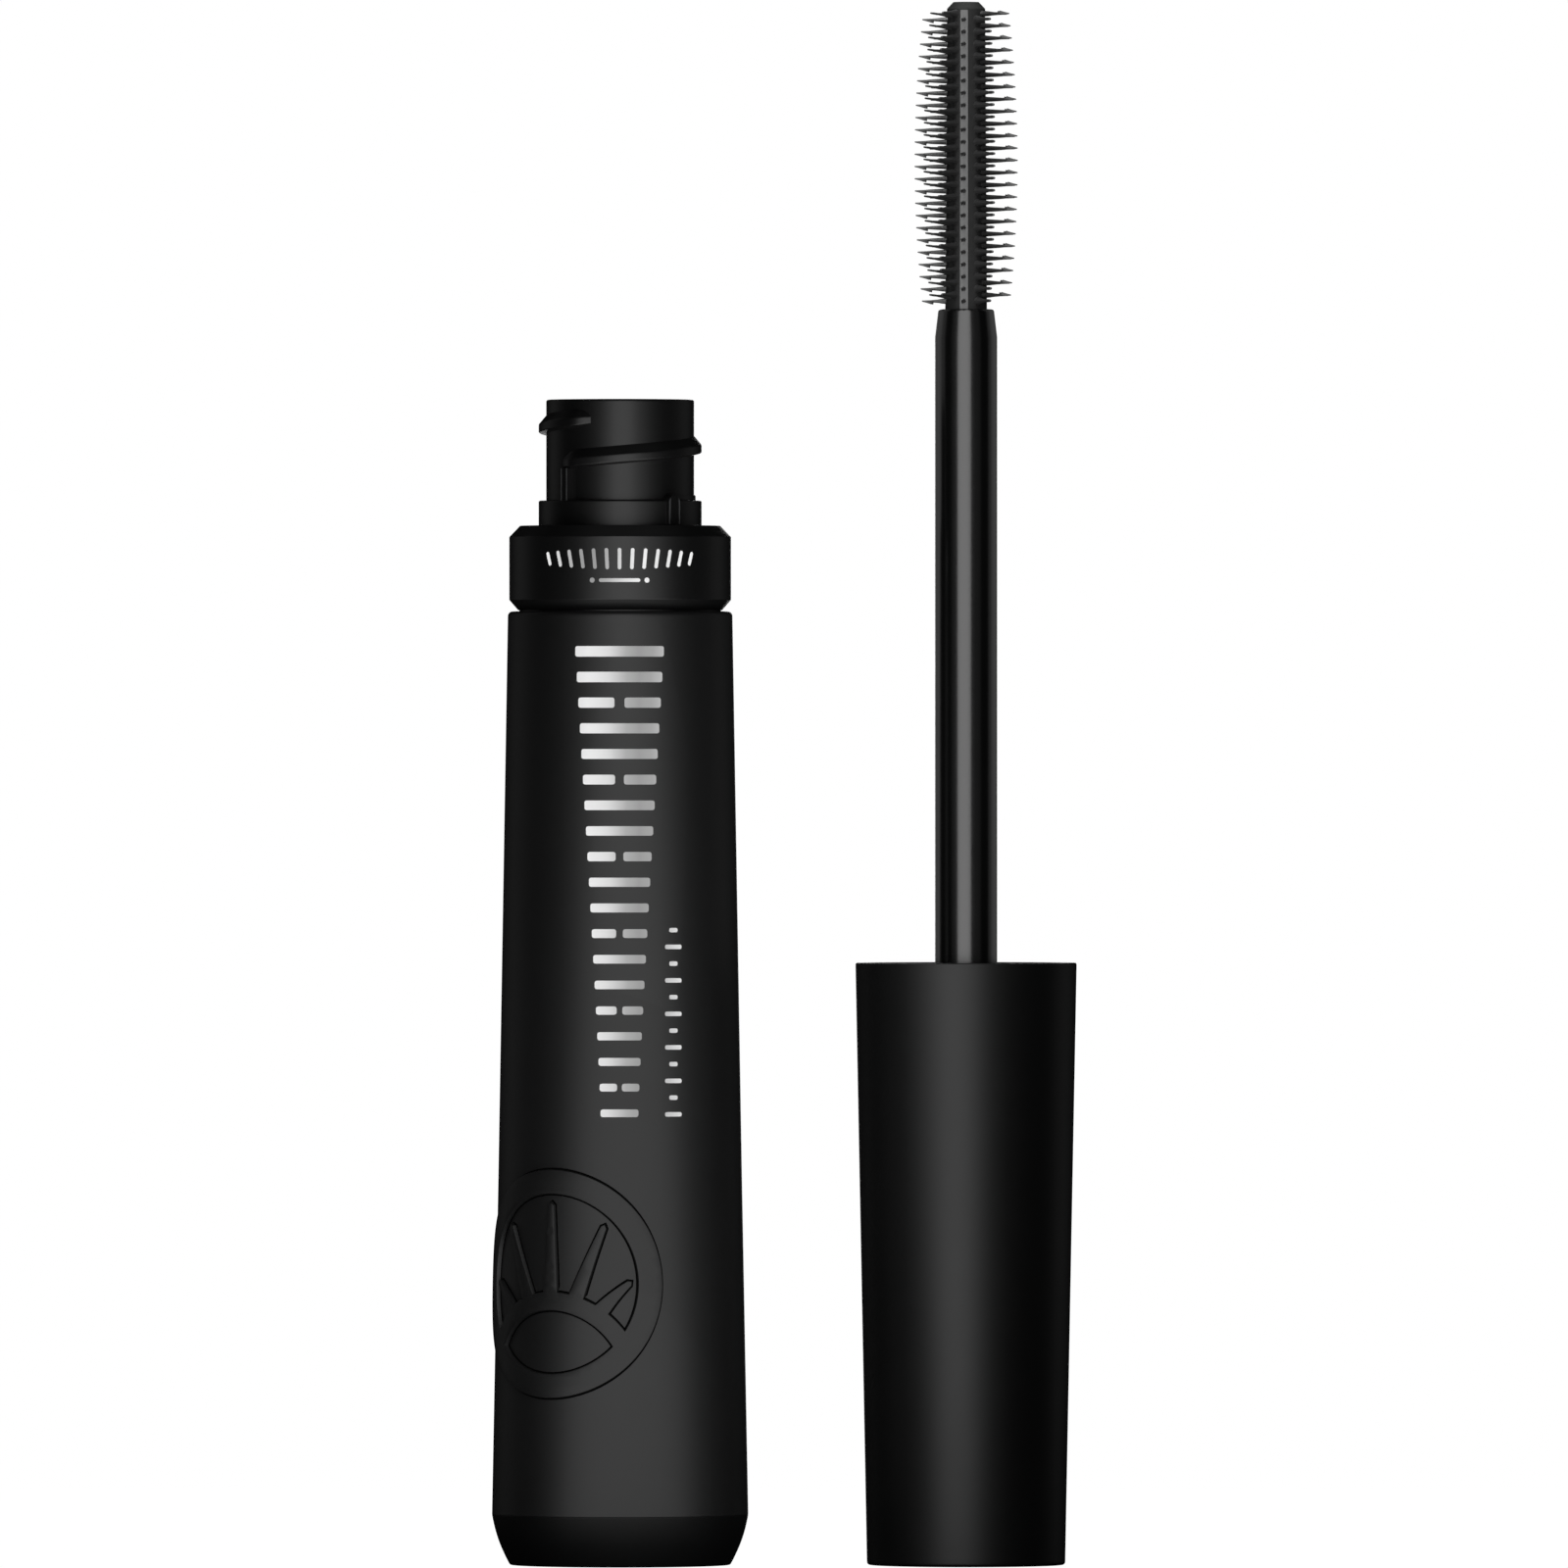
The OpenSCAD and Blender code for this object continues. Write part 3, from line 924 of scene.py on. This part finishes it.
def inner_ridge(bm, profile, wall_r):
    """The cap's own thread, as it lies when the closed cap is turned over."""
    closed = COLLAR.top + CAP.top
    start, turn, step_angle, fade = -39, 330, 4, 10
    start_z = THREAD_START_Z + THREAD_LEAD * (start - THREAD_START) / 360
    least_rise = 0.1
    steps = math.ceil(turn / step_angle)
    sections = []
    for i in range(steps + 1):
        angle = turn * i / steps
        end = min(angle, turn - angle, fade) / fade
        swell = math.sqrt(max(0.0, 1 - (1 - end) ** 2))
        height = start_z + THREAD_LEAD * angle / 360
        azimuth = start + angle
        sections.append([
            around(blend(wall_r, r, blend(least_rise, 1, swell)), -azimuth, closed - height - z, STAND_X)
            for r, z in profile
        ])
    loft(bm, sections)


def make_liner(finish):
    bm = bmesh.new()
    hole_r = STEM_R + 0.06
    lathe(bm, outline(
        (hole_r, LINER.low, 0.06),
        (LINER.radius, LINER.low, 0.08),
        (LINER.radius, LINER.top, 0.12),
        (hole_r, LINER.top, 0.1),
    ), STAND_X)
    return piece("foam_liner", bm, "seal", [finish], "liner_white", "seal_washer")


# ---------------------------------------------------------------- wand

def make_stem(finish):
    bm = bmesh.new()
    socket_r, end_r = 2.05, 2.27
    lathe(bm, outline(
        (0, STEM.low),
        (socket_r, STEM.low, 0.4),
        (socket_r, CEILING_Z),
        (STEM_R, CEILING_Z),
        (STEM_R, STEM_NECK_Z, 0.9),
        (end_r, STEM.top, 0.24),
        (CORE_LOW_R - 0.1, STEM.top),
        (CORE_LOW_R - 0.1, STEM.top - 0.5),
        (0, STEM.top - 0.5),
    ), STAND_X, full_turn(96))
    return piece("stem_rod", bm, "applicator", [finish], "stem_black", "stem")


BRISTLES = 24
PITCH = 1.0
FIRST_DROP = 0.95
REACH, REACH_LOSS, REACH_HALF = 4.26, 0.62, 11.5
FLAT_AZIMUTH, FLAT_HALF = -6.4, 11.2
BARB = 0.18
PLAIN_TIP = 1.3
# Two rows at each azimuth, one on each side of the core. Drops are in pitches
Rows = namedtuple("Rows", "azimuth right_drop left_drop left_lean girth barb")
SIDE_ROWS = [
    Rows(33, 0.5, 0, 0, 1.45, 0),
    Rows(55, 0, 0.19, 5, 1, 0),
    Rows(82, 0, 0.5, 0, 1, BARB),
    Rows(109, 0, 0.5, 0, 1, BARB),
    Rows(136, 0, 0, 0, 0.7, 0),
]


def core_r(z):
    t = (z - STEM.top) / (BRUSH.top - 0.55 - STEM.top)
    return blend(CORE_LOW_R, CORE_TOP_R, t)


def bristle_reach(z):
    """Bristles shorten towards both ends of the brush, like a barrel."""
    return REACH - REACH_LOSS * ((z - (BRUSH.top - 13.1)) / REACH_HALF) ** 2


def bristle_shape(length, tip):
    """(distance from the core, half width, half height, share of the barb's height) from foot to tip."""
    return [
        (0.0, 0.25, 0.28, 0),
        (0.2, 0.19, 0.21, 0),
        (0.5, 0.17, 0.185, 0),
        (length - 1.3, 0.13, 0.135, 0),
        (length - 0.84, 0.095, 0.095, 0),
        (length - 0.8, 0.095, 0.085, 1),
        (length - 0.4, 0.065 * tip, 0.07 * tip, 0.4),
        (length - 0.05, 0.05 * tip, 0.055 * tip, 0),
        (length, 0.025 * tip, 0.03 * tip, 0),
    ]


def bristle(bm, azimuth, z, lean, girth, barb):
    """One bristle: a flared foot, a shaft, and a barb that slopes to a fine tip. A plain one ends blunter."""
    out = around(1, azimuth, 0) / MM
    side = Vector((-out.y, out.x, 0))
    lean = math.radians(lean)
    along = out * math.cos(lean) + Vector((0, 0, math.sin(lean)))
    up = Vector((0, 0, math.cos(lean))) - out * math.sin(lean)
    start = core_r(z) - 0.12
    length = (bristle_reach(z) - start) / math.cos(lean)
    foot = Vector((STAND_X, 0, z)) + out * start
    corner_count, barb_edge = 8, 0.6
    sections = []
    for distance, half_w, half_h, share in bristle_shape(length, 1 if barb else PLAIN_TIP):
        middle = foot + along * distance
        corners = []
        for k in range(corner_count):
            a = math.pi / 4 * k
            high = half_h * girth * math.sin(a)
            wide = half_w * girth * math.cos(a)
            if math.sin(a) * barb > barb_edge * abs(barb):
                high += share * barb
            corners.append((middle + side * wide + up * high) * MM)
        sections.append(corners)
    loft(bm, sections)


def bristle_row(bm, azimuth, drop, lean, girth, barb):
    """A row of bristles from the tip down. A positive barb stands up and a negative one hangs down."""
    top = BRUSH.top - FIRST_DROP - drop * PITCH
    for i in range(BRISTLES):
        bristle(bm, azimuth, top - PITCH * i, lean, girth, barb)


def make_brush(finishes):
    """The moulded comb: a core with one flat, and eleven rows of bristles, five of them barbed."""
    bm = bmesh.new()
    steps = 72
    gap = 360 - 2 * FLAT_HALF
    azimuths = [FLAT_AZIMUTH + FLAT_HALF + gap * i / steps for i in range(steps + 1)]
    shank_r, flat_low, flat_top = 1.1, STEM.top - 0.4, BRUSH.top - 0.55
    core = lathe(bm, outline(
        (0, BRUSH.low),
        (shank_r, BRUSH.low, 0.2),
        (shank_r, flat_low),
        (CORE_LOW_R, flat_low),
        (CORE_TOP_R, flat_top, 0.12),
        (TIP_R, BRUSH.top, 0.1),
        (0, BRUSH.top),
    ), STAND_X, azimuths)
    out = around(1, FLAT_AZIMUTH, 0) / MM
    for face in core:
        face.normal_update()
        low = min(v.co.z for v in face.verts) / MM
        width = max((a.co - b.co).xy.length for a in face.verts for b in face.verts) / MM
        if abs(face.normal.dot(out)) > 0.99 and width > 0.5 and flat_low - 0.1 < low < flat_top - 0.5:
            # the flat's faces take slot 1, the pale finish with its painted highlight
            face.material_index = 1
    bristle_row(bm, FLAT_AZIMUTH, drop=0.5, lean=0, girth=0.75, barb=-BARB)
    for rows in SIDE_ROWS:
        bristle_row(bm, rows.azimuth, rows.right_drop, 0, rows.girth, rows.barb)
        bristle_row(bm, -rows.azimuth, rows.left_drop, rows.left_lean, rows.girth, -rows.barb)
    for face in set(bm.faces) - set(core):
        face.material_index = 2
    return piece("brush_comb", bm, "applicator", finishes, "brush_black", "brush")


# ---------------------------------------------------------------- room, light and camera

def make_floor():
    """A plain white table top, which the black plastic doesn't mirror."""
    half, sink = 260 * MM, 0.00002
    bm = bmesh.new()
    bmesh.ops.create_grid(bm, x_segments=8, y_segments=8, size=half)
    for v in bm.verts:
        v.co += Vector((STAND_X / 2 * MM, 0, -sink))
    mesh = bpy.data.meshes.new("floor")
    bm.to_mesh(mesh)
    bm.free()
    f = Finish("floor_white", Metallic=0.0, Roughness=0.9, Emission_Strength=1.0)
    f.shader.inputs["Emission Color"].default_value = (1, 1, 1, 1)
    f.colour(f.between(f.noise(40, 2), grey(0.8), grey(0.83)))
    mesh.materials.append(f.material)
    floor = bpy.data.objects.new("floor", mesh)
    bpy.context.scene.collection.objects.link(floor)
    floor.visible_glossy = False
    floor.visible_diffuse = False


def softbox(name, centre, facing, width, height, radiance, lit):
    """A rectangular light for some pieces only, in millimetres. Radiance is the brightness of its face."""
    data = bpy.data.lights.new(name, "AREA")
    data.shape = "RECTANGLE"
    data.size, data.size_y = width * MM, height * MM
    data.energy = radiance * math.pi * data.size * data.size_y
    lamp = bpy.data.objects.new(name, data)
    lamp.location = Vector(centre) * MM
    lamp.rotation_euler = Vector(facing).to_track_quat("-Z", "Y").to_euler()
    lamp.visible_camera = False
    bpy.context.scene.collection.objects.link(lamp)
    lamp.light_linking.receiver_collection = lit


def group_of(name, pieces):
    group = bpy.data.collections.new(name)
    for made in pieces:
        group.objects.link(made)
    return group


def light_bottle(lit):
    """A board that leans away from the bottle: its reflection is broad at the foot and slim at the neck."""
    lean, near = 0.53, 33
    foot_z, join_z, top_z = -4, 87, 118
    facing = (0, 1, lean)
    stretch = math.hypot(1, lean)
    # (name, middle, width, radiance) of the two overlapping boards at the bottom, then at the neck
    low_boards = [("low_broad", 14, 108, 1.3), ("low_core", 9, 52, 2.1)]
    high_boards = [("high_broad", 6, 50, 1.4), ("high_core", 4.5, 22, 3.6)]
    for boards, low, high in ((low_boards, foot_z, join_z), (high_boards, join_z, top_z)):
        z = (low + high) / 2
        for part, x, width, radiance in boards:
            place = (x, -near - lean * z, z)
            softbox("bottle_" + part, place, facing, width, (high - low) * stretch, radiance, lit)


def light_wand(lit, cap_lit):
    """An upright strip for the whole wand, with a fainter one on its left for the broad cap."""
    low, high, y = -4, 262, -58
    z = (low + high) / 2
    softbox("wand_core", (15.5, y, z), (0, 1, 0), width=44, height=high - low, radiance=1.9, lit=lit)
    low = 22
    z = (low + high) / 2
    softbox("wand_left", (-26, y, z), (0.3, 1, 0), width=36, height=high - low, radiance=0.5, lit=cap_lit)


def light_foils(lit):
    """Broad boards in front and at both sides, so that the foil is bright all the way round the front."""
    z, tall, radiance = 60, 260, 1.6
    for name, x, y, width in [("front", 0, -200, 300), ("left", -230, -40, 260), ("right", 230, -40, 260)]:
        softbox("foil_" + name, (x, y, z), (-x, -y, 0), width, tall, radiance, lit)


def light_stem(lit):
    """Tall boards at the stem's sides, a dim one in front, and a strip that widens its main streak."""
    low, high = -10, 260
    z, tall = (low + high) / 2, high - low
    aside, behind, side_radiance = 95, 70, 0.16
    for side, name, width in ((-1, "stem_left", 205), (1, "stem_right", 166)):
        place, facing = (STAND_X + side * aside, behind, z), (-side * aside, -behind, 0)
        softbox(name, place, facing, width, tall, side_radiance, lit)
    softbox("stem_front", (STAND_X, -150, z), (0, 1, 0), width=420, height=tall, radiance=0.07, lit=lit)
    softbox("stem_streak", (41.5, -58, z), (0, 1, 0), width=7, height=tall, radiance=1.9, lit=lit)


def light_brush(lit):
    """A broad board overhead, and one above the front that brightens the upper half of each bristle."""
    z = 330
    softbox("brush_top", (STAND_X, -20, z), (0, 0.1, -1), width=240, height=240, radiance=1.5, lit=lit)
    softbox("brush_key", (STAND_X, -170, z), (0, 170, -215), width=260, height=150, radiance=3.0, lit=lit)


def light_back(lit):
    """Dim boards behind at both sides, a slim bright one straight behind, and a dim one overhead."""
    z, tall = 125, 270
    softbox("back_left", (-190, 120, z), (190, -120, 0), width=120, height=tall, radiance=0.125, lit=lit)
    softbox("back_right", (220, 120, z), (-190, -120, 0), width=120, height=tall, radiance=0.125, lit=lit)
    softbox("back", (STAND_X / 2, 262, z), (0, -1, 0), width=72, height=tall, radiance=2.4, lit=lit)
    softbox("top", (14, 60, 420), (0, -0.1, -1), width=260, height=260, radiance=0.15, lit=lit)


def make_lights(bottle, foils, cap, stem, brush):
    bottle_lit = group_of("bottle_lit", bottle)
    wand_lit = group_of("wand_lit", cap + [stem, brush])
    cap_lit = group_of("cap_lit", cap)
    all_lit = group_of("all_lit", bottle + cap + [stem, brush])
    light_bottle(bottle_lit)
    light_wand(wand_lit, cap_lit)
    light_back(all_lit)
    light_stem(group_of("stem_lit", [stem]))
    light_foils(group_of("foil_lit", foils))
    light_brush(group_of("brush_lit", [brush]))


def make_world():
    """White behind everything, and only a trace of it in the plastic."""
    world = bpy.data.worlds.new("studio")
    bpy.context.scene.world = world
    world.use_nodes = True
    nodes, links = world.node_tree.nodes, world.node_tree.links
    path = nodes.new("ShaderNodeLightPath")
    strength = nodes.new("ShaderNodeMapRange")
    trace = 0.004
    strength.inputs["To Min"].default_value = trace
    strength.inputs["To Max"].default_value = 1.0
    links.new(path.outputs["Is Camera Ray"], strength.inputs["Value"])
    links.new(strength.outputs["Result"], nodes["Background"].inputs["Strength"])
    nodes["Background"].inputs["Color"].default_value = (1, 1, 1, 1)


def make_camera():
    """Level, straight from the front, far away through a long lens."""
    distance, view_width = 2.4, 0.12814
    middle_x, middle_z = 0.01339, 0.0638
    data = bpy.data.cameras.new("camera")
    data.sensor_width = 36
    data.lens = data.sensor_width * distance / view_width
    data.clip_start, data.clip_end = 0.1, 20
    camera = bpy.data.objects.new("camera", data)
    camera.location = (middle_x, -distance, middle_z)
    camera.rotation_euler = (math.pi / 2, 0, 0)
    bpy.context.scene.collection.objects.link(camera)
    bpy.context.scene.camera = camera


def main():
    satin, neck = satin_black(), neck_black()
    sleeve_foil = silver_foil("silver_foil", 1.6)
    bottle = [
        make_sleeve(satin), make_emblem([satin, crease_painted_shade()]), make_foot(foot_black()),
        make_collar(neck), make_neck([neck, edge_painted_highlight()]), make_wiper(wiper_grey()),
    ]
    foils = [
        make_collar_foil(silver_foil("collar_foil", -2.2)),
        make_column_foil(sleeve_foil), make_line_foil(sleeve_foil),
    ]
    stem = make_stem(stem_black())
    cap = [make_cap(satin), make_insert(neck), make_liner(liner_white())]
    brush = make_brush([brush_black(), brush_flat_painted_highlight(), bristle_black()])
    make_floor()
    make_lights(bottle, foils, cap, stem, brush)
    make_world()
    make_camera()
    bpy.context.scene.view_settings.view_transform = "Standard"


main()
